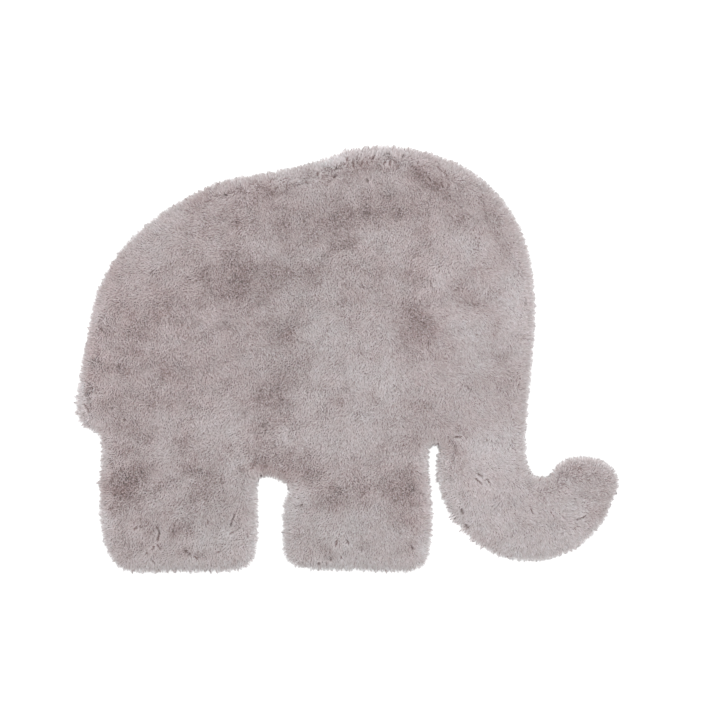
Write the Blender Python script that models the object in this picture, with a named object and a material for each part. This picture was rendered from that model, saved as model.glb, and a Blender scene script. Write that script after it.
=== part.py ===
"""A child's floor rug in the shape of an elephant seen from its side.

The rug is one piece of plush: deep, dense pile on a thin backing, lying flat. Its solid is a
lumpy slab with rounded shoulders, and a rim of short pointed locks of pile that lie out over
the floor. Metres, +Z up. The origin is the middle of the rug's box, at the floor. +X runs
from the tail to the trunk, and +Y from the feet to the crown of the head.
"""

import math
import random
from collections import namedtuple

import bmesh
import bpy
from mathutils import Vector, geometry, kdtree, noise

MM = 0.001

# The pile, in metres.
PILE_HEIGHT = 0.0245  # from the floor to the top of the pile, backing included
RIM_HEIGHT = 0.011  # of the slab's edge, between two locks
SHOULDER = 0.034  # over which the pile rounds down to the rim
LUMP_HEIGHT = 0.0060  # broad lumps, at most this much above or below
LUMP_SIZE = 0.075
TUFT_HEIGHT = 0.0035  # clumps of pile, on the lumps
TUFT_SIZE = 0.042

# The locks of pile around the rim.
LOCKS = 292
LOCK_REACH = 0.0095  # from the slab's edge to the tips
LOCK_SPREAD = 0.0022  # by which one lock is longer or shorter than the next
LOCK_LEAN = 0.0045  # most that a tip leans along the rim
LOCK_ROOT_HEIGHT = 0.017
LOCK_ROOT_INSET = 0.004
LOCK_SEED = 11

# The mesh of the pile's top.
LATTICE = 0.026
LATTICE_JITTER = 0.006
SHOULDER_RINGS = ((0.009, LOCKS), (0.022, LOCKS // 2))  # inset, and how many points carry it
RING_SHARE = 0.9  # of its inset that a ring's point keeps where the outline bends
CURVE_STEPS = 16  # between two anchors of the outline
EDGE_SAMPLES_PER_LOCK = 8
SHARP_ANGLE = math.radians(50)
WELD = 1e-7

PILE_COLOUR = (0.423, 0.366, 0.371, 1.0)
PILE_ROUGHNESS = 0.95

# The outline through the tips of the locks, anticlockwise seen from above, in millimetres.
# A curve runs through the anchors. It turns at once where the turn is "sharp".
Anchor = namedtuple("Anchor", "place x y turn", defaults=("round",))

HEAD = (
    Anchor("front, at the trunk", 437, -266),
    Anchor("front, above the trunk", 427, -210),
    Anchor("cheek", 433, -110),
    Anchor("front", 445, 25),
    Anchor("brow", 449, 145),
    Anchor("forehead, low", 433, 258),
    Anchor("forehead", 395, 348),
    Anchor("forehead, high", 325, 429),
    Anchor("crown, front", 236, 481),
    Anchor("crown", 120, 509),
    Anchor("crown, back", 8, 503),
    Anchor("nape", -70, 475),
)
BACK = (
    Anchor("shoulders", -185, 448),
    Anchor("back, high", -303, 425),
    Anchor("back", -435, 356),
    Anchor("rump, high", -538, 265),
    Anchor("rump", -594, 172),
    Anchor("rump, low", -624, 50),
)
TAIL = (
    Anchor("top", -641, -55),
    Anchor("side", -648, -110),
    Anchor("tip", -637, -153),
    Anchor("underside", -616, -171),
    Anchor("notch", -596, -169, "sharp"),
)
HIND_LEG = (
    Anchor("thigh", -588, -210),
    Anchor("back", -593, -308),
    Anchor("ankle", -587, -410),
    Anchor("heel", -568, -470),
    Anchor("heel, low", -535, -505),
    Anchor("sole", -400, -510),
    Anchor("toe, low", -264, -505),
    Anchor("toe", -226, -483),
    Anchor("toe, high", -214, -440),
    Anchor("front", -213, -330),
)
BELLY = (
    Anchor("hind leg's top", -212, -293),
    Anchor("corner", -202, -280),
    Anchor("middle", -170, -288),
    Anchor("front leg's corner", -144, -300),
    Anchor("front leg's top", -140, -314),
)
FRONT_LEG = (
    Anchor("back", -152, -345),
    Anchor("heel, high", -154, -410),
    Anchor("heel", -149, -470),
    Anchor("heel, low", -116, -498),
    Anchor("sole", 5, -506),
    Anchor("toe, low", 138, -509),
    Anchor("toe", 185, -493),
    Anchor("toe, high", 199, -455),
    Anchor("shin", 204, -370),
    Anchor("knee", 198, -285),
)
SLIT = (
    Anchor("leg's side", 195, -235),
    Anchor("leg's corner", 200, -211),
    Anchor("top", 211, -204),
    Anchor("trunk's corner", 220, -211),
)
TRUNK = (
    Anchor("root", 212, -236),
    Anchor("back", 212, -268),
    Anchor("back, low", 225, -328),
    Anchor("bend, back", 265, -400),
    Anchor("bend", 337, -460),
    Anchor("underside", 430, -483),
    Anchor("curl, low", 525, -464),
    Anchor("curl", 602, -402),
    Anchor("tip, low", 639, -328),
    Anchor("tip", 648, -287),
    Anchor("tip, high", 625, -251),
    Anchor("tip, top", 577, -234),
    Anchor("tip, back", 532, -236),
    Anchor("lip", 500, -254),
    Anchor("bay, right", 481, -279),
    Anchor("bay, left", 451, -279),
)
OUTLINE = HEAD + BACK + TAIL + HIND_LEG + BELLY + FRONT_LEG + SLIT + TRUNK

# Where the pile is pressed or lies the other way, and so stands lower. Millimetres.
Hollow = namedtuple("Hollow", "place x y radius depth")

HOLLOWS = (
    Hollow("ear's root", 172, 98, 62, 4.5),
    Hollow("cheek", 300, 140, 50, 3.0),
    Hollow("crown", 187, 432, 52, 3.5),
    Hollow("behind the crown", 75, 366, 62, 3.5),
    Hollow("nape", -10, 340, 45, 3.0),
    Hollow("shoulder", -208, 412, 55, 3.0),
    Hollow("flank, high", -262, 205, 72, 4.5),
    Hollow("flank", -180, 68, 50, 3.0),
    Hollow("flank, low", -182, -70, 55, 3.5),
    Hollow("rump", -431, 142, 48, 3.0),
    Hollow("hip", -412, -23, 52, 3.0),
    Hollow("belly", -212, -190, 58, 3.5),
    Hollow("hind thigh", -546, -306, 58, 4.5),
    Hollow("hind leg", -378, -250, 52, 3.0),
    Hollow("front thigh", 136, -302, 58, 4.5),
    Hollow("front leg", -32, -322, 48, 3.5),
    Hollow("trunk's root", 258, -222, 36, 3.0),
    Hollow("trunk's tip", 545, -290, 40, 2.5),
)


def clear_scene():
    for obj in list(bpy.data.objects):
        bpy.data.objects.remove(obj, do_unlink=True)


def handle(anchor, before, after, side):
    """The curve's handle at an anchor, towards the neighbour before it (-1) or after it (+1)."""
    here = Vector((anchor.x, anchor.y))
    neighbours = Vector((before.x, before.y)), Vector((after.x, after.y))
    reach = (neighbours[side > 0] - here).length / 3
    if anchor.turn == "sharp":
        along = neighbours[side > 0] - here
    else:
        along = (neighbours[1] - neighbours[0]) * side
    return here + along.normalized() * reach


def outline_curve():
    """The outline as a closed list of close points, in metres, centred on the rug's box."""
    points = []
    count = len(OUTLINE)
    for i, start in enumerate(OUTLINE):
        end = OUTLINE[(i + 1) % count]
        points += geometry.interpolate_bezier(
            Vector((start.x, start.y)),
            handle(start, OUTLINE[i - 1], end, 1),
            handle(end, start, OUTLINE[(i + 2) % count], -1),
            Vector((end.x, end.y)),
            CURVE_STEPS,
        )[:-1]
    low = Vector((min(p.x for p in points), min(p.y for p in points)))
    high = Vector((max(p.x for p in points), max(p.y for p in points)))
    return [(p - (low + high) / 2) * MM for p in points]


def evenly_spaced(points, count):
    """Points at equal steps along a closed line, each with the direction out of the rug."""
    lengths = [0.0]
    for i, point in enumerate(points):
        lengths.append(lengths[-1] + (points[(i + 1) % len(points)] - point).length)
    samples = []
    segment = 0
    for k in range(count):
        wanted = lengths[-1] * k / count
        while lengths[segment + 1] <= wanted:
            segment += 1
        start = points[segment]
        step = points[(segment + 1) % len(points)] - start
        share = (wanted - lengths[segment]) / (lengths[segment + 1] - lengths[segment])
        samples.append(start + step * share)
    spaced = []
    for k, sample in enumerate(samples):
        along = (samples[(k + 1) % count] - samples[k - 1]).normalized()
        spaced.append((sample, Vector((along.y, -along.x))))
    return spaced


class Edge:
    """The slab's edge, which lies inside the tips of the locks."""

    def __init__(self, curve):
        spaced = evenly_spaced(curve, LOCKS * EDGE_SAMPLES_PER_LOCK)
        self.places = [point - out * LOCK_REACH for point, out in spaced]
        self.outs = [out for _, out in spaced]
        self.tree = kdtree.KDTree(len(self.places))
        for i, place in enumerate(self.places):
            self.tree.insert(place.to_3d(), i)
        self.tree.balance()

    def inset(self, point):
        """How far a point lies inside the edge, below zero outside it."""
        place, i, distance = self.tree.find(point.to_3d())
        inside = (place.to_2d() - point).dot(self.outs[i]) > 0
        return distance if inside else -distance


def pile_top(point, inset):
    """The height of the pile at a point that lies this far inside the slab's edge."""
    rise = min(max(inset / SHOULDER, 0.0), 1.0)
    shoulder = math.sqrt(1 - (1 - rise) ** 2)
    spot = point.to_3d()
    lumps = LUMP_HEIGHT * noise.noise(spot / LUMP_SIZE)
    tufts = TUFT_HEIGHT * noise.noise(spot / TUFT_SIZE)
    pressed = sum(
        h.depth * MM * math.exp(-((Vector((h.x, h.y)) * MM - point).length / (h.radius * MM)) ** 2)
        for h in HOLLOWS
    )
    full = PILE_HEIGHT + lumps + tufts - pressed
    return RIM_HEIGHT + (full - RIM_HEIGHT) * shoulder


def rim(curve, draw):
    """The two rings around the rug: at the floor, through the locks' tips, and at their roots."""
    floor_ring = []
    root_ring = []
    for k, (point, out) in enumerate(evenly_spaced(curve, 2 * LOCKS)):
        along = Vector((-out.y, out.x))
        edge = point - out * LOCK_REACH
        if k % 2:
            reach = out * draw.uniform(-LOCK_SPREAD, LOCK_SPREAD)
            tip = point + reach + along * draw.uniform(-LOCK_LEAN, LOCK_LEAN)
            root = edge - out * LOCK_ROOT_INSET
            height = LOCK_ROOT_HEIGHT + draw.uniform(-LOCK_SPREAD, LOCK_SPREAD)
            floor_ring.append(tip.to_3d())
            root_ring.append(root.to_3d() + Vector((0, 0, height)))
        else:
            height = RIM_HEIGHT + draw.uniform(-LOCK_SPREAD, LOCK_SPREAD)
            floor_ring.append(edge.to_3d())
            root_ring.append(edge.to_3d() + Vector((0, 0, height)))
    return floor_ring, root_ring


def top_points(curve, edge, draw):
    """The points inside the rim that carry the pile's top: the shoulder's rings, then a lattice."""
    points = []
    for inset, count in SHOULDER_RINGS:
        for point, out in evenly_spaced(curve, count):
            place = point - out * (LOCK_REACH + inset)
            if edge.inset(place) > inset * RING_SHARE:
                points.append(place)
    clear = SHOULDER_RINGS[-1][0] + LATTICE / 2
    reach = max(max(abs(p.x), abs(p.y)) for p in curve)
    rows = math.ceil(reach / LATTICE) + 1
    row_step = LATTICE * math.sqrt(3) / 2
    for row in range(-rows - rows // 4, rows + rows // 4 + 1):
        for column in range(-rows, rows + 1):
            jitter = Vector((draw.uniform(-1, 1), draw.uniform(-1, 1))) * LATTICE_JITTER
            place = Vector(((column + row % 2 / 2) * LATTICE, row * row_step)) + jitter
            if edge.inset(place) > clear:
                points.append(place)
    return points


def add_faces(mesh, corners, boundary_count, upward):
    """Fills a flat outline, its first boundary_count corners, with triangles through the rest."""
    flat = [corner.co.to_2d() for corner in corners]
    boundary = list(range(boundary_count))
    filled = geometry.delaunay_2d_cdt(flat, [], [boundary], 1, WELD)
    sources = [ids[0] for ids in filled[3]]
    for face in filled[2]:
        loop = [corners[sources[i]] for i in face]
        mesh.faces.new(loop if upward else loop[::-1])


def centre_on_box(mesh):
    """Moves the mesh sideways, so that the middle of its box is over the origin."""
    xs = [v.co.x for v in mesh.verts]
    ys = [v.co.y for v in mesh.verts]
    middle = Vector((min(xs) + max(xs), min(ys) + max(ys), 0)) / 2
    bmesh.ops.translate(mesh, verts=mesh.verts, vec=-middle)


def build_rug():
    draw = random.Random(LOCK_SEED)
    curve = outline_curve()
    edge = Edge(curve)
    floor_ring, root_ring = rim(curve, draw)
    inner = []
    for point in top_points(curve, edge, draw):
        inner.append(Vector((*point, pile_top(point, edge.inset(point)))))

    mesh = bmesh.new()
    floor = [mesh.verts.new(p) for p in floor_ring]
    roots = [mesh.verts.new(p) for p in root_ring]
    tops = [mesh.verts.new(p) for p in inner]
    count = len(floor)
    for k in range(0, count, 2):
        tip, after = k + 1, (k + 2) % count
        mesh.faces.new((floor[k], floor[tip], roots[k]))
        mesh.faces.new((floor[tip], roots[tip], roots[k]))
        mesh.faces.new((floor[tip], roots[after], roots[tip]))
        mesh.faces.new((floor[tip], floor[after], roots[after]))
    add_faces(mesh, floor, count, upward=False)
    add_faces(mesh, roots + tops, count, upward=True)
    centre_on_box(mesh)
    return mesh


def pile_material():
    material = bpy.data.materials.new("plush_pile")
    material.use_nodes = True
    shader = material.node_tree.nodes["Principled BSDF"]
    shader.inputs["Base Color"].default_value = PILE_COLOUR
    shader.inputs["Roughness"].default_value = PILE_ROUGHNESS
    shader.inputs["Metallic"].default_value = 0.0
    material.diffuse_color = PILE_COLOUR
    return material


def main():
    clear_scene()
    shape = build_rug()
    mesh = bpy.data.meshes.new("elephant_rug")
    shape.to_mesh(mesh)
    shape.free()
    mesh.materials.append(pile_material())
    mesh.shade_smooth()
    mesh.set_sharp_from_angle(angle=SHARP_ANGLE)
    bpy.context.scene.collection.objects.link(bpy.data.objects.new("elephant_rug", mesh))


main()
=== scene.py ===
"""The looks of the elephant-shaped plush rug: its pile, lock by lock, on a plain white floor.

Places that were read in the photograph are in its pixels, in a frame of 720 by 720, and
in_pixels() finds the rug's own points in it. Everything else is in metres.
"""

import math
from collections import namedtuple

import bpy
import numpy as np
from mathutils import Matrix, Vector, geometry, kdtree
from mathutils.bvhtree import BVHTree


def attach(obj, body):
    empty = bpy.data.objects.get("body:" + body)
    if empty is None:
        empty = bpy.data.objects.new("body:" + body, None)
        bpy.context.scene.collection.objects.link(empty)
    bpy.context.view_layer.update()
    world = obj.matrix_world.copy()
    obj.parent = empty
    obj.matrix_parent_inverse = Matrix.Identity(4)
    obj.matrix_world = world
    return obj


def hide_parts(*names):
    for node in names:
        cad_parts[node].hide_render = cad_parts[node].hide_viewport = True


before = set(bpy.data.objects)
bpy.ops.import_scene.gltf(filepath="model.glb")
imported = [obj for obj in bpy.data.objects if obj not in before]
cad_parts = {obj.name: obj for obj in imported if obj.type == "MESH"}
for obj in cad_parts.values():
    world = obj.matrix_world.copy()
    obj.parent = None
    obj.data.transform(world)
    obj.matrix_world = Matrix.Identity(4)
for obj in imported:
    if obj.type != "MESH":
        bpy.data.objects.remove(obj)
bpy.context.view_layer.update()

RUG = "elephant_rug"
SEED = 20240611
PATCH_SEED = 7
TINY = 1e-6  # counts as nothing

# The photograph's scale on the floor, and the pixel that the rug's origin falls on.
PIXEL = 0.002394
PHOTO_SIDE = 720
ORIGIN_PX = (347.0, 359.5)

# The slab's plan.
EDGE_STEPS = 10  # between two corners of the slab's edge
LOCK_TIP = 1e-4  # the slab is thinner at its rim locks' tips

# The pile. A range of insets is how far inside the rug's edge a change begins and ends.
PITCH = 0.00236  # between the roots of two locks
PITCH_JITTER = 0.42  # share of the pitch
PILE_INSET = 0.002  # of the outermost roots
LOCK_LENGTH = 0.0100
LENGTH_SPREAD = 0.16
LOCK_WIDTH = 0.0036
WIDTH_SPREAD = (0.75, 1.2)
LOCK_SPREAD = 0.14  # of a lock's lean from its clump's
CLUMP_PITCH = 0.0038
CLUMP_JITTER = 0.5
CLUMP_SPREAD = 0.13  # of a clump's lean from the nap's
CLUMP_EVEN = 0.45  # squared share of a clump's radius that is as light as the rest
CLUMP_WARMTH = 0.8
PULL_SPREAD = (0.6, 1.3)
PULL_INSETS = (0.004, 0.020)
ROOT_SINK = 0.0012  # of a lock's root in the underfur
LOWEST_ROOT = 0.002
LOWEST = 0.0004  # of any lock above the floor
MARGIN = 0.01  # of the clumps round the rug
PILE_PIECES = 5

# Pairs of values, for where the pile stands and for where it lies.
STANDING, LYING = 0.20, 0.72  # leans
CLUMP_PULL = (0.75, 0.10)  # of the tips towards the clump's middle
LOOSE = (1.6, 0.85)  # how far the locks stray
LOCK_SHADES = (0.265, 0.150)  # spread of the locks' shades
CLUMP_SHADES = (0.045, 0.020)  # spread of the clumps' shades
CLUMP_EDGE_SHADE = (0.33, 0.05)  # painted shade at a clump's edge, between the clumps
ROOT_LIGHT_REACH = (0.0, 0.40)  # how pale a root is, against the painted shade deep in the pile: 1 is as pale as a tip

# The lean, as sideways run for each metre of rise.
LEAST_LEAN = 0.20
LEAN_GAIN = 0.56  # from the darkest shade to the lightest
LEAN_SHADES = (0.10, 0.50)
RIM_LEAN = 1.1
OUTWARD_INSETS = (0.001, 0.038)  # where it turns from outwards to the nap's way
WANDER_INSETS = (0.004, 0.020)
LEAN_KEPT = 0.85  # least share of the lean in that turn
KEPT_FROM = 0.25  # share of the turn

# The rim, where the pile lies out over the floor.
RIM_PITCH = 0.0021
RIM_JITTER = 0.45
RIM_WIDTH = 0.0032
RIM_WIDTH_SPREAD = (0.7, 1.15)
RIM_TAPER = 0.75
RIM_INSETS = (0.0005, 0.0105)  # of the locks' roots
RIM_SHARE = 0.92  # of the lattice's points that hold a lock
RIM_REACH = 0.0124  # of the tufts' tips beyond the slab's edge
RIM_RAGGED = 0.0030  # spread of that reach
RAGGED_LIMITS = (-2.0, 1.4)
STRAIGHT_REACH = 0.8  # of a lock outside any tuft, as a share
RIM_TUFTS = (0.0046, 0.0075, 0.0120)  # between the middles of two tufts, in each layer
STRAND_LAYER = 1  # of the fine strands
TUFT_SHIFT = 0.3
TUFT_JITTER = 0.4
FAN_SPREAD = 0.25
TUFT_PULL = (0.65, 1.0)  # of the locks' ends towards the tuft's tip
TUFT_SHADES = 0.07  # spread of the tufts' shades
TUFT_SIDE_SHADE = 0.20  # painted shade on a tuft's sides, between the tufts
TUFT_EVEN = 0.33
SHORTEST_RUN, RUN_GAIN = 0.58, 0.50  # of the locks, as a share of the way to their ends
RUN_POWER = 1.5
EVEN_GAIN = 0.5
START_SHARE = 0.55  # of the slab's height, at a lock's root
START_SPREAD = (0.4, 1.1)
END_HEIGHTS = (0.0012, 0.0070)
SHORT_RISE = 0.010  # how much higher the shortest locks end
BOWS = (0.001, 0.0045)  # of the locks' middles upwards
BOW_LIMIT = 0.001  # above the slab
MIDDLE_PULL = 0.12  # of a lock's middle back from its tuft
STRAND_PULL = 0.30  # of a fine strand's middle into it
# Painted light: the rim's locks are paler near the edge, for the white floor's light through the
# fringe.
RIM_LIGHT = 0.11
RIM_FADE = 13.0  # of the shade for each metre inside the edge, so the painted rim light fades inwards
RIM_LIGHTEST = 0.80
RIM_SHADES = 0.10
PLAIN_SPREAD = 0.3
RIM_CREASE = 0.8  # painted shade: how much darker the rim's locks are in a crease
RIM_RING_SHADING = (0.1, 0.7, 1.0)  # how pale a lock is at its root, middle and tip: painted shade deep in the pile
RIM_COOLER = (0.0, 0.5, 2.2)  # levels cooler, likewise: painted light of the white floor
PARTING = 0.024  # inside the edge, where the rim's pile parts from the rest
PARTING_WIDTH = 0.011
PARTING_LIGHT = 0.03  # against the shadow there

# The backing and its underfur.
GROUND_PITCH = 0.014
GROUND_JITTER = 0.2
GROUND_STEP = 0.009  # along the edge
GROUND_INSET = 0.001
GROUND_INNER = 0.008  # least inset of the points within
# Painted shade: the underfur's colour is darker than the pile's, for the shadow under the locks.
GROUND_SHADE = -0.1
GROUND_DROP = 0.0066  # from the slab's top to the underfur, besides RIM_DROP
RIM_DROP = 0.004
DROP_INSETS = (-0.004, 0.026)
LOWEST_GROUND = 0.003
ROUGH_INSETS = (0.002, 0.020)

# The shade of the pile, from 0 to 1, which holds painted light and painted shade besides its own
# tone, and its warmth in levels.
LEVEL = 0.0103  # the shade of one of the photograph's 256 levels
PLAIN_LIGHT = 0.430  # where there is no patch
PATCH_SOFTNESS = 1.4
WARP = 0.005  # how far the edges of the patches wander
WARP_SIZE = 0.020
DARK_WARMTH = 6.0  # levels, for each unit of painted shade that the pile is darker: the painted shade's warmer tone
# Painted light: the pile is cooler near the rim, for the white floor's light through the fringe.
RIM_COOL = 2.0
COOL_INSETS = (0.002, 0.016)

# Ripples, as layers of a size and a height.
LIGHT_RIPPLES = ((0.022, 0.010), (0.010, 0.004))
WARMTH_RIPPLES = ((0.030, 0.5),)
LEAN_RIPPLES = ((0.035, 0.12),)
SWIRL_RIPPLES = ((0.050, 0.40), (0.020, 0.12))
WANDER_RIPPLES = ((0.022, 0.007), (0.009, 0.003))
STAND_RIPPLES = ((0.016, 0.08),)
FAN_RIPPLES = ((0.030, 0.28),)
RAGGED_RIPPLES = ((0.080, 0.25),)
REACH_RIPPLES = ((0.022, 0.0010),)
GROUND_RIPPLES = ((0.030, 0.0006),)
RIPPLE_WAVES = 14
RIPPLE_LENGTHS = (1.4, 2.8)  # of the waves, for each metre of the lumps' size
RIPPLE_EVEN = 1.2  # keeps most ripples within their height

# A lock's cell in the colour map, in shares of the cell.
CELL_SIDES = (0.04, 0.96)
CELL_RISE = 0.12  # of the third corner of a ring above the other two
CELL_TOP = 0.98

# Colours.
PLUSH = ((0.088, 0.064, 0.063, 1), (0.428, 0.344, 0.338, 1), (0.870, 0.842, 0.870, 1))
# The rim's copy of these colours is a little more neutral: painted light of the white floor through
# the fringe.
PLUSH_RIM_FLOOR_LIT = ((0.100, 0.072, 0.068, 1), (0.424, 0.349, 0.346, 1), (0.865, 0.845, 0.865, 1))
PLAIN_STOP = 0.375  # of the middle one, in the range of shades
SHADE_RANGE = (-0.6, 1.0)
# Painted shade deep in the pile: the colour at a lock's root is multiplied by this.
ROOT_PAINTED_SHADE = (0.54, 0.48, 0.47, 1)
TIP_TONE = (1, 1, 1, 1)
WARMTH_RANGE = (-4.0, 4.0)
COOLEST = (0.958, 1.010, 1.000, 1)
WARMEST = (1.042, 0.990, 0.985, 1)

FLOOR_SIZE = 14
FLOOR_DEPTH = 0.0002  # below the rug's underside
CAMERA_HEIGHT = 4.5
SENSOR = 36.0


def table(fields, *rows):
    """The rows of a table, whose columns have these names."""
    Row = namedtuple("Row", fields)
    return [Row(*row) for row in rows]


# The way the pile lies: pixels, and degrees anticlockwise from the photo's right.
NAP = table(
    "place x y heading",
    ("crown", 380, 200, -95),
    ("forehead", 470, 220, -75),
    ("brow", 505, 260, -62),
    ("face", 500, 335, -58),
    ("cheek", 455, 330, -48),
    ("ear", 425, 255, -112),
    ("throat", 470, 400, -60),
    ("neck", 350, 300, -95),
    ("shoulder", 310, 400, -112),
    ("chest", 385, 420, -92),
    ("back", 290, 210, -80),
    ("flank", 235, 320, -60),
    ("back's slope", 188, 212, 165),
    ("rump's slope", 138, 256, -175),
    ("rump", 160, 262, -125),
    ("hip", 130, 360, -80),
    ("tail", 90, 400, -75),
    ("thigh", 210, 450, -118),
    ("hind leg", 175, 530, -112),
    ("front leg, back rim", 299, 504, -140),
    ("front leg, back", 306, 535, -96),
    ("front leg, front", 400, 530, -78),
    ("trunk's root", 470, 470, -45),
    ("trunk's back", 452, 482, -125),
    ("trunk's bend", 474, 526, -95),
    ("trunk", 535, 505, -58),
    ("trunk's tip", 585, 500, -10),
)
NAP_REACH = 42.0  # pixels
NAP_NEAR = 0.15  # keeps the nearest from counting for all
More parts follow.
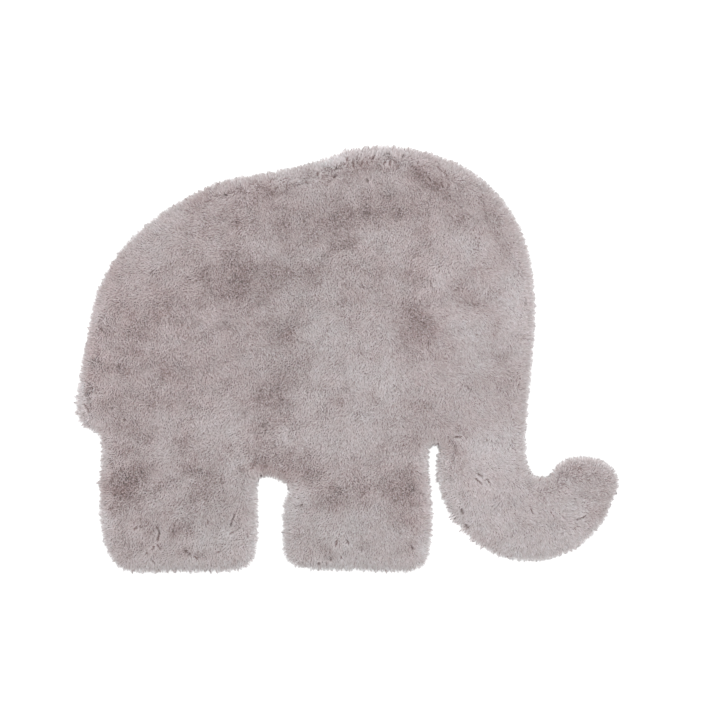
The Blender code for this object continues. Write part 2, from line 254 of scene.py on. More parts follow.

# Where the pile looks darker, because it stands up, or lighter, because it lies flat: painted
# shade and painted light in the locks' colour, besides the lean that follows them. The middle of each
# patch and its half axes in pixels, the turn of the long one in degrees, and how many of the
# photograph's 256 levels it is lighter than the rest.
PATCHES = table(
    "place x y long wide turn light",
    # broad
    ("body, tail's half", 190, 330, 90, 80, 0, -4),
    ("hind leg", 165, 490, 55, 50, 0, -3),
    ("middle", 350, 345, 75, 38, 90, 4.5),
    ("face", 470, 330, 80, 30, 90, 3),
    ("neck", 356, 292, 42, 30, 90, -5),
    ("trunk", 515, 500, 62, 36, 0, 10),
    # crown
    ("tail's end", 330, 175, 24, 5, 6, -13),
    ("left", 357, 164, 10, 5, 0, -13),
    ("crown's top rim", 385, 153, 26, 6, 0, 14),
    ("crown's rim, right", 447, 167, 12, 5, -30, 6),
    ("middle", 380, 165, 18, 5, 0, -9),
    ("crown's rim", 402, 163, 18, 5, -3, 9),
    ("crown's rim, tail's end", 334, 162, 14, 8, 18, 37),
    ("right, upper", 418, 174, 8, 6, -40, -15),
    ("right, lower", 432, 184, 13, 7, -33, -19),
    ("under the crown", 350, 177, 22, 5, 10, -5),
    ("below the crown, light", 362, 188, 12, 6, 0, 5),
    ("withers, upper light", 317, 194, 8, 6, 0, 6),
    ("forehead, left", 448, 192, 9, 7, 0, -7),
    ("forehead, middle", 458, 213, 14, 9, 90, -10),
    ("forehead, right", 481, 203, 10, 9, -45, -7),
    ("forehead, low", 497, 243, 23, 9, -75, -14),
    ("forehead's rim", 505, 213, 14, 6, -55, 6),
    ("middle light", 388, 208, 8, 7, 0, 3.5),
    ("low", 398, 190, 16, 6, 20, -3.5),
    # nape
    ("left", 335, 217, 12, 9, 0, -13),
    ("below left", 334, 241, 11, 10, 90, -12),
    ("below", 351, 245, 18, 8, 90, -10),
    ("far left", 333, 201, 7, 8, 90, -9),
    ("middle", 364, 212, 13, 7, 0, -19),
    ("link", 383, 213, 10, 7, 0, -8),
    ("right", 398, 213, 10, 8, -20, -14),
    ("above", 379, 197, 17, 5, 0, -10),
    ("end", 421, 204, 15, 8, 0, -9),
    ("lower edge", 369, 226, 20, 5, -4, -7),
    ("withers", 309, 228, 16, 11, 70, -9),
    ("withers, left", 292, 211, 14, 9, -30, -6),
    # head
    ("temple", 387, 241, 25, 10, 0, 9),
    ("brow, spot", 421, 231, 9, 8, 0, -11),
    ("brow, below", 423, 247, 14, 8, 90, -6),
    ("brow, left light", 440, 237, 10, 5, 15, 6),
    ("brow, light", 474, 246, 22, 11, 0, 14),
    ("ear, above", 440, 272, 13, 9, 90, 12),
    ("cheek, upper", 464, 268, 14, 9, -40, -5),
    ("ear, spot", 413, 275, 11, 8, -40, -11),
    ("neck, spot", 380, 266, 14, 8, 90, -9),
    ("ear, left light", 397, 273, 8, 8, 0, 6),
    ("neck, middle", 345, 285, 10, 7, 0, -6),
    ("ear", 410, 327, 24, 12, -75, -14),
    ("ear, upper right", 414, 311, 12, 6, -45, -6),
    ("ear, right", 430, 330, 13, 10, -45, -12),
    ("cheek, left", 446, 357, 18, 9, 90, -5),
    ("cheek, dark, left", 467, 298, 11, 8, -15, -12),
    ("cheek, dark, right", 481, 306, 9, 6, -45, -8),
    ("cheek, light", 467, 329, 22, 10, -14, 14),
    ("cheek, low", 479, 360, 22, 13, 0, 7),
    ("face, rim", 513, 304, 44, 13, 90, 21),
    ("face, upper light", 494, 296, 8, 7, 0, 12),
    ("face, streak", 495, 329, 14, 5, 80, -13),
    ("face, spot", 500, 330, 10, 5, 0, -5),
    ("face, low spot", 499, 358, 9, 8, 0, -16),
    ("face, low left", 486, 380, 11, 8, 0, -9),
    ("face, low right", 516, 381, 9, 9, 0, -5),
    ("face, low rim", 508, 372, 12, 14, 0, -4),
    ("cheek", 462, 347, 10, 9, 0, -3.5),
    ("cheek, low light", 470, 390, 11, 7, 0, 4),
    ("brow, side light", 477, 244, 7, 9, -30, 4),
    ("face's rim, dark", 513, 230, 9, 7, 0, -4),
    ("face's rim, light", 515, 277, 9, 8, 20, 5),
    ("face's edge", 527, 289, 5, 8, 0, -4),
    ("jaw, light", 484, 352, 6, 11, -20, 4),
    ("forehead, light", 373, 223, 9, 7, 30, 4),
    # shoulder and back
    ("top", 274, 190, 16, 6, 10, -14),
    ("left", 233, 221, 12, 12, 0, -13),
    ("low left", 234, 250, 8, 10, 0, -5),
    ("low", 262, 233, 14, 5, 0, -5),
    ("middle", 262, 205, 12, 11, 0, -8),
    ("right", 284, 233, 18, 8, 90, -10),
    ("shoulder, light", 263, 246, 12, 6, 10, 12),
    ("flank, above the band", 267, 264, 19, 6, 0, -8),
    ("spot", 205, 229, 14, 9, 0, -6),
    ("back's rim", 174, 211, 24, 8, 42, 2),
    ("back's upper slope", 202, 202, 14, 9, 30, -18),
    ("rump's top rim", 150, 231, 26, 7, 47, 2),
    ("back, light", 150, 250, 28, 12, 42, 5),
    ("low spot", 182, 247, 7, 9, 0, -8),
    ("band", 163, 291, 14, 7, 0, -5),
    ("withers, rim", 292, 181, 18, 7, 8, 13),
    ("neck, light", 428, 294, 7, 12, 0, 4),
    ("front light", 416, 361, 9, 9, 0, 4),
    ("low light", 437, 392, 9, 7, 0, 4),
    ("light spot", 286, 227, 10, 6, 5, 2.5),
    ("tail's side", 219, 212, 10, 8, 60, 4),
    ("neck, dark", 425, 314, 11, 7, -25, -5),
    ("collar", 402, 348, 8, 8, 0, -3.5),
    ("small light", 225, 247, 6, 8, 0, 4),
    ("withers, dark", 330, 236, 7, 6, 0, -4),
    # flank
    ("core", 243, 279, 15, 9, 80, -18),
    ("below the core", 232, 295, 10, 7, 10, -11),
    ("far left", 204, 265, 12, 6, 0, -7),
    ("left light", 205, 311, 18, 8, 0, 4),
    ("neck, left light", 332, 279, 8, 8, 0, 11),
    ("neck, right light", 361, 266, 8, 7, 0, 9),
    ("above the core", 230, 256, 12, 7, 90, -8),
    ("left of the core", 216, 281, 16, 13, 0, -7),
    ("band", 277, 276, 24, 8, 2, -13),
    ("band's end", 316, 274, 11, 9, 0, -14),
    ("below the band", 268, 296, 11, 7, 40, -10),
    ("light", 206, 334, 10, 8, 0, 6),
    ("middle", 288, 336, 18, 11, 60, -14),
    ("middle left", 267, 327, 10, 8, 90, -8),
    ("right of the middle", 301, 311, 9, 8, 0, -7),
    ("low", 289, 375, 19, 14, 60, -11),
    ("lowest", 270, 396, 16, 12, 20, -12),
    ("low right light", 311, 395, 9, 7, 0, 6),
    ("low left", 248, 378, 10, 6, 0, -6),
    ("flank's foot", 257, 409, 8, 6, 0, -5),
    ("by the belly", 284, 416, 11, 8, 0, -7),
    ("spot", 265, 358, 24, 5, 5, 8),
    ("middle, dark edge", 315, 353, 13, 7, 60, -12),
    ("middle, light", 324, 336, 24, 14, 60, 12),
    ("middle, low light", 391, 381, 22, 13, 10, 15),
    ("middle, low left light", 357, 371, 16, 9, 0, 10),
    ("middle, low spot", 325, 380, 8, 6, 0, -6),
    ("throat's edge", 373, 390, 7, 8, 0, -9),
    ("middle, upper right light", 384, 338, 12, 9, 0, 8),
    ("middle, upper spot", 333, 318, 9, 9, 0, -9),
    ("middle, upper band", 352, 346, 22, 6, 0, -4),
    ("neck, low spot", 346, 298, 11, 11, 0, -4),
    ("throat, upper light", 392, 314, 10, 7, 0, 7),
    ("middle, spot", 341, 400, 7, 12, 0, -13),
    ("light spot", 280, 383, 7, 8, 0, 4),
    ("dark spot", 313, 354, 12, 7, -20, -4),
    ("tail's side", 237, 326, 9, 9, 0, -4),
    ("small light", 307, 367, 7, 7, 0, 4.5),
    ("low light", 396, 392, 9, 8, 0, 4),
    # rump and hip
    ("spot", 162, 314, 9, 7, 60, -12),
    ("rump, band", 176, 302, 21, 7, 0, -4),
    ("low light", 143, 303, 9, 6, 0, 4),
    ("right spot", 184, 326, 7, 9, 0, -5),
    ("band's end", 204, 292, 8, 6, 60, -9),
    ("dark", 138, 326, 17, 12, 48, -8),
    ("light", 168, 336, 8, 7, 0, 8),
    ("rump, upper", 116, 303, 16, 10, -50, -6),
    ("top", 120, 263, 12, 9, 60, -7),
    ("rump's rim", 91, 379, 9, 7, 80, -13),
    ("rump's rim, upper", 99, 317, 13, 8, 75, 14),
    ("tail's rim", 84, 391, 13, 7, 90, 27),
    ("tail, below", 93, 419, 12, 6, -20, 5),
    ("middle", 154, 361, 12, 6, 10, -6),
    ("hip, upper", 129, 354, 12, 8, 0, -7),
    ("left", 117, 368, 10, 6, 0, -9),
    ("hip, band", 174, 375, 17, 5, -6, -8),
    ("low", 148, 402, 10, 8, 0, -10),
    ("below the band", 180, 392, 13, 8, 0, -6),
    ("by the rump", 127, 390, 12, 8, 30, -5),
    ("by the tail", 110, 403, 14, 7, 0, -8),
    ("haunch, spot", 189, 406, 12, 6, 0, -6),
    ("haunch, light", 218, 427, 28, 12, 0, 11),
    ("haunch, band", 216, 362, 24, 5, 12, -4),
    ("light stripe", 169, 250, 6, 18, 5, 4),
    ("rump's edge, dark", 126, 268, 9, 8, 0, -4),
    ("rump's edge, light", 97, 364, 13, 6, -15, 4),
    ("tail's side, light", 117, 391, 9, 6, 0, 2.5),
    # hind leg
    ("thigh, upper", 139, 430, 16, 8, -25, -10),
    ("thigh, upper light", 172, 427, 9, 7, 0, 7),
    ("thigh, spot", 133, 450, 9, 5, 0, -9),
    ("thigh, left", 118, 439, 13, 7, 90, -5),
    ("thigh, right", 187, 438, 12, 8, 0, -13),
    ("thigh, streak", 163, 449, 13, 8, 90, 7),
    ("thigh, core, upper", 137, 473, 13, 9, 35, -18),
    ("thigh, core, lower", 117, 496, 13, 11, 30, -25),
    ("thigh, core, link", 127, 483, 10, 10, 0, -6),
    ("thigh, right of the core", 144, 488, 9, 7, 0, -6),
    ("shin, upper light", 174, 505, 11, 5, -30, 5),
    ("thigh's rim", 106, 478, 9, 8, 90, -13),
    ("left rim", 108, 513, 17, 6, 90, 21),
    ("upper left rim", 107, 457, 9, 6, 90, 15),
    ("knee, left", 194, 469, 11, 8, 0, -12),
    ("knee, right", 216, 482, 17, 9, 85, -12),
    ("knee, middle", 197, 496, 8, 11, 0, -12),
    ("knee, light", 236, 466, 15, 8, 70, 11),
    ("shin", 181, 527, 11, 7, 0, -11),
    ("shin, left", 150, 523, 22, 8, 0, -4),
    ("foot, light", 221, 536, 21, 8, 10, 13),
    ("shin, right", 234, 516, 12, 12, 0, -6),
    ("foot, right rim", 250, 546, 14, 6, 90, 16),
    ("right rim", 250, 503, 16, 5, 90, 12),
    ("foot, left", 134, 548, 10, 9, 0, -7),
    ("foot, spot", 187, 552, 7, 6, 0, -14),
    ("foot, right", 216, 553, 12, 6, 0, -6),
    ("thigh, light spot", 145, 442, 8, 6, 0, 4.5),
    # belly
    ("light", 332, 439, 42, 9, 0, 5),
    ("right light", 390, 424, 34, 12, 0, 2),
    ("upper middle light", 361, 413, 9, 8, 0, 14),
    ("upper middle dark", 372, 398, 8, 6, 0, -8),
    ("gap's upper edge", 285, 474, 19, 7, -12, -22),
    ("middle light", 330, 449, 24, 8, 0, 7),
    ("upper light", 285, 435, 8, 7, 0, 7),
    ("upper spot", 264, 428, 10, 7, 0, -17),
    ("dark", 270, 445, 12, 9, 0, -6),
    ("left", 242, 446, 10, 7, 0, -12),
    ("by the gap", 264, 463, 10, 8, 0, -22),
    ("low left", 246, 468, 10, 5, 0, -5),
    ("low right", 294, 453, 12, 8, 0, -14),
    ("end", 314, 473, 12, 8, 0, -5),
    ("low band", 322, 462, 18, 5, 0, -10),
    ("spot", 385, 442, 9, 6, 90, -10),
    ("small spot", 361, 463, 8, 6, 0, -8),
    ("leg gap, right", 289, 471, 11, 8, 0, -5),
    ("leg gap, left", 258, 470, 7, 6, 0, -4),
    # front leg
    ("thigh, left", 336, 490, 14, 9, 10, -13),
    ("thigh, low left", 324, 502, 15, 6, 8, -4),
    ("thigh, middle", 363, 488, 10, 8, 90, -13),
    ("thigh, link", 346, 504, 14, 8, 0, -9),
    ("thigh, core", 410, 489, 18, 12, 60, -20),
    ("thigh, beside the core", 386, 489, 13, 9, 0, -13),
    ("thigh, below the core", 388, 514, 11, 6, 10, -8),
    ("foot, upper light", 367, 513, 13, 7, 15, 8),
    ("thigh, top", 392, 470, 13, 6, 0, -9),
    ("thigh, low", 410, 518, 13, 9, 0, -11),
    ("light", 298, 502, 13, 8, 90, 15),
    ("left streak", 314, 505, 18, 5, 90, -6),
    ("foot, right", 412, 547, 9, 5, -60, -9),
    ("foot, middle", 365, 541, 12, 8, 90, -9),
    ("foot, right rim", 424, 550, 14, 7, 90, 22),
    ("slit, leg's side", 423, 478, 24, 7, 90, 13),
    ("foot, left", 328, 553, 10, 8, 0, -12),
    ("foot, low middle", 348, 547, 8, 10, 0, 7),
    ("foot, low", 392, 553, 10, 6, 0, -5),
    ("foot", 350, 536, 48, 20, 0, 4),
    ("foot, far left", 304, 546, 12, 8, 90, -6),
    # throat
    ("low right", 492, 424, 11, 8, 0, -9),
    ("left", 413, 400, 10, 9, 0, -9),
    ("right", 438, 417, 13, 9, -40, -4),
    ("upper", 409, 375, 9, 12, 0, -10),
    ("low", 466, 429, 16, 6, -15, -10),
    ("by the slit", 453, 450, 13, 8, -50, -17),
    ("slit's top", 432, 438, 15, 7, 0, -9),
    ("chest", 411, 438, 20, 8, 90, -8),
    ("middle", 424, 416, 8, 8, 0, -5),
    # trunk
    ("root", 491, 441, 27, 18, 0, 22),
    ("back rim", 449, 469, 16, 7, 80, 5),
    ("back light", 462, 498, 18, 6, -60, 5),
    ("upper", 493, 467, 26, 11, 0, 9),
    ("middle", 487, 511, 24, 14, -40, 8),
    ("low", 542, 541, 41, 12, 8, 10),
    ("trunk's heel", 486, 542, 16, 6, -30, -8),
    ("light streak", 575, 507, 16, 5, 5, 9),
    ("dark streak", 588, 515, 12, 4, 15, -5),
    ("tip's rim", 602, 494, 11, 17, 0, -13),
    ("tip's upper rim", 603, 466, 8, 6, 0, 9),
    ("by the crook", 516, 486, 16, 7, 15, 8),
    ("crook's rim", 521, 470, 8, 5, 90, -7),
    ("tip", 576, 472, 14, 8, 0, -9),
    ("upper edge", 541, 481, 17, 9, 5, -13),
    ("low left light", 478, 520, 12, 9, -45, 6),
    ("low middle", 558, 525, 13, 9, 0, 4),
    ("outer side", 590, 520, 14, 11, 40, -2.5),
    ("upper right", 536, 508, 12, 9, 0, -3),
    ("root middle", 493, 441, 13, 7, 0, 4),
)

# Where the pile's colour is a little warmer or cooler: half axes across and down in pixels,
# and how many levels more there are between its red and its green.
TINTS = table(
    "place x y long wide warmth",
    ("body, tail's half", 150, 285, 85, 110, 1.6),
    ("back, middle", 280, 222, 34, 36, 0.7),
    ("middle", 300, 320, 45, 95, -1.7),
    ("head", 430, 270, 28, 95, 1.2),
    ("thigh", 212, 505, 42, 52, -1.9),
    ("front leg", 340, 532, 70, 34, -2.0),
    ("belly", 345, 452, 70, 14, -0.2),
    ("trunk's tip", 586, 490, 24, 22, -1.4),
    ("rump's rim", 92, 350, 22, 75, 2.0),
    ("face's rim", 520, 280, 20, 90, 1.3),
    ("crown's rim", 375, 150, 55, 10, 1.5),
    ("hind foot's hem", 180, 563, 80, 12, -1.2),
    ("face", 482, 362, 26, 30, -0.9),
    ("front leg's rim", 419, 505, 12, 40, 2.2),
    ("rump, upper", 165, 245, 48, 42, -1.2),
    ("brow's rim", 335, 156, 14, 10, 2.6),
    ("crown, right", 424, 172, 22, 10, 1.6),
    ("forehead", 362, 198, 14, 12, 1.2),
    ("back, upper", 250, 196, 22, 16, 1.0),
    ("hind leg's rim", 110, 478, 16, 46, 1.4),
    ("hind leg, inner rim", 246, 525, 9, 30, 1.4),
    ("front foot's hem", 350, 566, 75, 9, -2.6),
    ("trunk", 486, 478, 28, 42, 1.3),
    ("trunk, underneath", 505, 557, 48, 9, -1.6),
    ("trunk tip's rim", 572, 466, 26, 8, 0.9),
    ("brow", 486, 262, 18, 40, 0.9),
    ("flank, low", 392, 412, 40, 36, -0.9),
)

# The short splits in the pile, where it falls away to both sides and the locks in them are coloured
# dark, painted shade in the split. Pixels.
CREASES = table(
    "x1 y1 x2 y2 half_width",
    (158, 527, 158.5, 530, 0.65),
    (160, 530, 158.5, 540, 0.65),
    (159, 544, 162, 549, 0.7),
    (155.5, 545.5, 153, 549.5, 0.36),
    (148, 552, 147.5, 553, 0.8),
    (152, 557.5, 155.5, 562.5, 0.42),
    (186.6, 550, 187.4, 551.4, 1.25),
    (190, 552.6, 191, 554.4, 0.8),
    (195, 555, 199, 559, 0.28),
    (135, 528, 139, 526, 0.5),
    (142, 526, 143, 526.5, 0.85),
    (235, 514, 232.5, 520, 0.33),
    (232.5, 520, 230.8, 526, 0.36),
    (240, 527, 235.5, 530, 0.36),
    (234, 531, 230, 533, 0.28),
    (222, 549.5, 217, 552, 0.34),
    (337, 540, 336, 545, 0.75),
    (347, 539, 349, 543, 0.55),
    (411, 545, 413, 549, 0.65),
    (319, 562, 319.6, 563, 1.2),
    (330.5, 559, 333, 558.4, 0.38),
    (341, 556, 342.5, 558.5, 0.3),
    (361.8, 548.5, 362, 551, 0.4),
    (478, 473.5, 483, 476.5, 0.45),
    (486.5, 478.5, 490.5, 484, 0.33),
    (475.5, 478.5, 482, 484, 0.38),
    (462, 508.5, 463, 513, 1.2),
    (466, 524, 469, 527.5, 1.2),
    (529.5, 507, 532.5, 514, 0.32),
    (576, 519.5, 585, 515.5, 0.33),
    (455, 437, 461, 436, 0.5),
    (86, 404, 91, 412, 0.5),
    (113, 407, 114, 409, 0.9),
    (125, 419, 126, 421, 0.8),
    (367, 180, 369, 182, 0.9),
    (372, 160, 375.5, 155, 0.45),
    (353, 162, 353.5, 168, 0.65),
    (360.5, 165.5, 363.5, 162, 0.45),
    (384, 163.5, 386, 160.5, 0.5),
    (390, 161.5, 389.5, 166, 0.5),
    (402, 157.5, 404.5, 155.5, 0.55),
    (347, 159, 348.5, 162, 0.42),
    (318, 173.5, 317, 177, 0.5),
    (334, 178, 337, 175, 0.5),
    (428, 177, 431, 182, 0.48),
    (441, 184, 443, 188.5, 0.52),
)
CREASE_RUN = 1.5  # pixels that its locks reach past their roots
CREASE_LEAST = 0.1  # least share of a crease for its roots
CREASE_BESIDE = 2.2  # pixels, of its sides
LONG_CREASE = 5.0  # pixels, where its locks lie fully along it
CREASE_MIDDLE = 0.1  # pixels, where the pile falls to neither side
CREASE_LEAN = 0.9
SIDE_LEAN = 0.8
CREASE_THIN = 0.35  # how much shorter and thinner its locks are
CREASE_COOL = 3.0  # levels cooler in a crease's painted shade
# Painted light on the pile beside a crease.
SIDE_LIGHT = 0.17
SIDE_CALM = 0.6  # how much less the shades vary there

# Stretches of the rim, with their middle and size in pixels: how many times as ragged as
# elsewhere the tufts are, how many times as strongly they are shaded apart (painted shade on their
# sides, and a wider spread of shades), how far they slant anticlockwise along the rim, and the share
# of their locks that are gathered in fine strands.
FRINGES = table(
    "place x y size ragged parted slant fine",
    ("crown", 375, 152, 42, 1.3, 2.1, -0.6, 0.3),
    ("back", 220, 190, 60, 0.8, 1.2, -0.1, 0),
    ("forehead", 475, 185, 50, 0.35, 0.7, -0.25, 0),
    ("face", 530, 310, 75, 0.55, 0.7, -0.1, 0),
    ("trunk's tip", 600, 480, 40, 0.4, 0.7, 0, 0),
    ("trunk's outer side", 555, 550, 45, 0.5, 0.8, 0, 0),
    ("trunk's crook", 530, 460, 30, 0.6, 0.8, 0, 0),
    ("trunk, underneath", 465, 525, 30, 1.8, 1.4, 0, 0.8),
    ("hind foot", 180, 570, 62, 1.0, 2.0, 0, 0.5),
    ("hind foot, middle", 180, 570, 22, 1.1, 1, 0, 0.5),
    ("front foot", 360, 570, 62, 1.0, 2.0, 0, 0.5),
    ("front foot, middle", 370, 570, 24, 1.1, 1, 0, 0.5),
    ("tail", 85, 410, 30, 1.3, 1.3, 0, 0.3),
)


def in_pixels(points):
    """Where the photograph shows points of the floor."""
    return points[:, 0] / PIXEL + ORIGIN_PX[0], ORIGIN_PX[1] - points[:, 1] / PIXEL


def smooth_step(value, low, high):
    t = np.clip((value - low) / (high - low), 0, 1)
    return t * t * (3 - 2 * t)


def tree_of(points):
    """A tree that finds the nearest of these points on the floor."""
    tree = kdtree.KDTree(len(points))
    for i, (x, y) in enumerate(points):
        tree.insert((x, y, 0), i)
    tree.balance()
    return tree


def nearest_of(owners, points):
    """Which of the owners lies nearest to each point."""
    tree = tree_of(owners)
    return np.array([tree.find((x, y, 0))[1] for x, y in points])


# ---- the rug's plan


def rug_edge(node):
    """The slab's edge at the floor, anticlockwise: its corners between the rim's locks."""
    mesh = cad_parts[node].data
    places, above = {}, {}
    for vertex in mesh.vertices:
        key = (round(vertex.co.x, 6), round(vertex.co.y, 6))
        above[key] = max(above.get(key, 0.0), vertex.co.z)
        places[vertex.index] = key
    flat_edges = {}
    for polygon in mesh.polygons:
        if max(mesh.vertices[i].co.z for i in polygon.vertices) > TINY:
            continue
        corners = [places[i] for i in polygon.vertices]
        for start, end in zip(corners, corners[1:] + corners[:1]):
            if (end, start) in flat_edges:
                del flat_edges[(end, start)]
            else:
                flat_edges[(start, end)] = None
    onwards = {end: start for start, end in flat_edges}
    ring = [next(iter(onwards))]
    while onwards[ring[-1]] != ring[0]:
        ring.append(onwards[ring[-1]])
    return np.array([place for place in ring if above[place] > LOCK_TIP])


def smooth_loop(points, steps):
    """A closed curve through the points, in small steps."""
    before, after = np.roll(points, 1, axis=0), np.roll(points, -1, axis=0)
    beyond = np.roll(points, -2, axis=0)
    parts = []
    for t in np.arange(steps) / steps:
        parts.append(
            0.5 * (
                2 * points
                + (after - before) * t
                + (2 * before - 5 * points + 4 * after - beyond) * t**2
                + (3 * points - before - 3 * after + beyond) * t**3
            )
        )
    return np.stack(parts, axis=1).reshape(-1, 2)


class Plan:
    """The rug seen from above: its edge, and how far inside it a point lies."""

    def __init__(self, node):
        self.edge = smooth_loop(rug_edge(node), EDGE_STEPS)
        along = np.roll(self.edge, -1, axis=0) - np.roll(self.edge, 1, axis=0)
        along /= np.linalg.norm(along, axis=1)[:, None]
        self.outs = np.column_stack((along[:, 1], -along[:, 0]))
        self.step = np.linalg.norm(self.edge[1] - self.edge[0])
        self.low, self.high = self.edge.min(axis=0), self.edge.max(axis=0)
        self.tree = tree_of(self.edge)
        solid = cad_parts[node]
        self.top = BVHTree.FromPolygons(
            [v.co for v in solid.data.vertices], [p.vertices for p in solid.data.polygons]
        )

    def inset(self, points):
        """How far each point lies inside the edge, and the way out of the rug there."""
        found = [self.tree.find((x, y, 0)) for x, y in points]
        nearest = np.array([i for _, i, _ in found])
        distance = np.array([d for _, _, d in found])
        towards = self.edge[nearest] - points
        inside = np.einsum("ij,ij->i", towards, self.outs[nearest]) > 0
        return np.where(inside, distance, -distance), self.outs[nearest]

    def height(self, points):
        """The height of the CAD slab's top over each point, zero beside it."""
        down = Vector((0, 0, -1))
        hits = (self.top.ray_cast((x, y, 1.0), down)[0] for x, y in points)
        return np.array([hit.z if hit else 0.0 for hit in hits])

    def lattice(self, pitch, jitter, draw, margin=0.0):
        """Points in even triangles over the rug's box and a margin, each moved at random."""
        low, high = self.low - margin, self.high + margin
        rows = np.arange(low[1], high[1], pitch * math.sqrt(3) / 2)
        columns = np.arange(low[0], high[0], pitch)
        y, x = np.meshgrid(rows, columns, indexing="ij")
        x = x + (np.arange(len(rows)) % 2 * pitch / 2)[:, None]
        points = np.stack((x, y), axis=-1).reshape(-1, 2)
        return points + draw.uniform(-jitter * pitch, jitter * pitch, points.shape)


# ---- how the pile lies


def rippled(points, layers, draw):
    """Smooth noise about zero, whose lumps have about each layer's size and its height."""
    total = 0
    for size, height in layers:
        turns = draw.uniform(0, 2 * np.pi, RIPPLE_WAVES)
        rates = 2 * np.pi / (size * draw.uniform(*RIPPLE_LENGTHS, RIPPLE_WAVES))
        phases = draw.uniform(0, 2 * np.pi, RIPPLE_WAVES)
        aims = np.stack((np.cos(turns), np.sin(turns))) * rates
        waves = np.sin(points @ aims + phases).sum(axis=1) / math.sqrt(RIPPLE_WAVES / RIPPLE_EVEN)
        total = total + height * waves
    return total


def nap_direction(points):
    """The way the pile lies at each point, as unit vectors."""
    x, y = in_pixels(points)
    total = np.zeros((len(points), 2))
    for nap in NAP:
        weight = 1 / (((x - nap.x) ** 2 + (y - nap.y) ** 2) / NAP_REACH**2 + NAP_NEAR) ** 2
        turn = math.radians(nap.heading)
        total += weight[:, None] * np.array((math.cos(turn), math.sin(turn)))
    return total / np.linalg.norm(total, axis=1)[:, None]


def lightness(points, inset):
    """How light the pile looks at each point, from 0 to 1: the patches' painted light and shade,
    painted light at the parting and a little random tone.
    """
    draw = np.random.default_rng(PATCH_SEED)
    warp = np.column_stack([rippled(points, ((WARP_SIZE, WARP),), draw) for _ in "xy"])
    x, y = in_pixels(points + warp)
    light = np.full(len(points), PLAIN_LIGHT)
    for patch in PATCHES:
        turn = math.radians(patch.turn)
        dx, dy = x - patch.x, patch.y - y
        u = (dx * math.cos(turn) + dy * math.sin(turn)) / patch.long
        v = (dy * math.cos(turn) - dx * math.sin(turn)) / patch.wide
        light += LEVEL * patch.light * np.exp(-(u**2 + v**2) / PATCH_SOFTNESS)
    light += rippled(points, LIGHT_RIPPLES, draw)
    light += PARTING_LIGHT * np.exp(-(((inset - PARTING) / PARTING_WIDTH) ** 2))
    return light


def warmth_at(points, draw):
    """How many levels warmer than the rest the pile is at each point."""
    x, y = in_pixels(points)
    warmth = rippled(points, WARMTH_RIPPLES, draw)
    for tint in TINTS:
        away = ((x - tint.x) / tint.long) ** 2 + ((y - tint.y) / tint.wide) ** 2
        warmth += tint.warmth * np.exp(-away)
    return warmth


def crease_at(points):
    """The nearest crease at each point: how deep in it the point lies, how near beside it,
    the way along it and the way from it."""
    x, y = in_pixels(points)
    depth, beside = np.zeros((2, len(points)))
    along, away = np.zeros((2, len(points), 2))
    for x1, y1, x2, y2, half_width in CREASES:
        ax, ay = x2 - x1, y2 - y1
        length = math.hypot(ax, ay)
        last = max(1 - CREASE_RUN / length, CREASE_LEAST)
        t = np.clip(((x - x1) * ax + (y - y1) * ay) / length**2, 0, last)
        dx, dy = x - (x1 + ax * t), y - (y1 + ay * t)
        gap = np.hypot(dx, dy)
        near = np.exp(-((gap / CREASE_BESIDE) ** 2))
        nearer = near > beside
        beside = np.where(nearer, near, beside)
        depth = np.where(nearer, np.exp(-((gap / half_width) ** 2)), depth)
        along[nearer] = np.array((ax, -ay)) / max(length, LONG_CREASE)
        away[nearer] = (np.column_stack((dx, -dy)) / (gap[:, None] + CREASE_MIDDLE))[nearer]
    return depth, beside, along, away


def fringe_at(points):
    """How many times as ragged as usual the rim is at each point, how many times as strongly its
    tufts are shaded apart with painted shade, how far they slant, and the share of fine strands."""
    x, y = in_pixels(points)
    ragged, parted = np.ones((2, len(points)))
    slant, fine = np.zeros((2, len(points)))
    for fringe in FRINGES:
        near = np.exp(-((x - fringe.x) ** 2 + (y - fringe.y) ** 2) / fringe.size**2)
        ragged += (fringe.ragged - 1) * near
        parted += (fringe.parted - 1) * near
        slant += fringe.slant * near
        fine += fringe.fine * near
    return ragged, parted, slant, fine


def lean_of(points, inset, outs, light, draw):
    """The lean of the pile at each point: sideways run for each metre of rise."""
    amount = LEAST_LEAN + LEAN_GAIN * smooth_step(light, *LEAN_SHADES)
    amount *= 1 + rippled(points, LEAN_RIPPLES, draw)
    swirl = rippled(points, SWIRL_RIPPLES, draw)
    nap = nap_direction(points)
    side = np.column_stack((-nap[:, 1], nap[:, 0]))
    lean = (nap * np.cos(swirl)[:, None] + side * np.sin(swirl)[:, None]) * amount[:, None]
    wander = rippled(points, WANDER_RIPPLES, draw) * smooth_step(inset, *WANDER_INSETS)
    outward = 1 - smooth_step(inset + wander, *OUTWARD_INSETS)
    least = amount * (1 - outward) + RIM_LEAN * outward
    least *= LEAN_KEPT * smooth_step(outward, 0.0, KEPT_FROM)
    lean = lean * (1 - outward[:, None]) + outs * (RIM_LEAN * outward[:, None])
    across = np.column_stack((outs[:, 1], -outs[:, 0]))
    lean += across * np.maximum(least - np.linalg.norm(lean, axis=1), 0)[:, None]
    depth, beside, along, away = crease_at(points)
    lean = lean * (1 - depth[:, None]) + along * (CREASE_LEAN * depth[:, None])
    return lean + away * (SIDE_LEAN * beside * (1 - depth))[:, None]


def underfur_depth(inset):
    """How far the underfur lies below the CAD slab's top."""
    return GROUND_DROP * smooth_step(inset, *DROP_INSETS) + RIM_DROP


# ---- meshes


def add_object(name, data):
    obj = bpy.data.objects.new(name, data)
    bpy.context.scene.collection.objects.link(obj)
    return obj


def mesh_object(name, verts, tris, material):
    mesh = bpy.data.meshes.new(name)
    mesh.from_pydata(verts.tolist(), [], tris.tolist())
    mesh.validate()
    mesh.shade_smooth()
    mesh.materials.append(material)
    print(name, len(tris))
    return add_object(name, mesh)


def add_attributes(obj, **values):
    for name, numbers in values.items():
        layer = obj.data.attributes.new(name, "FLOAT", "POINT")
        layer.data.foreach_set("value", numbers.astype(np.float32).ravel())


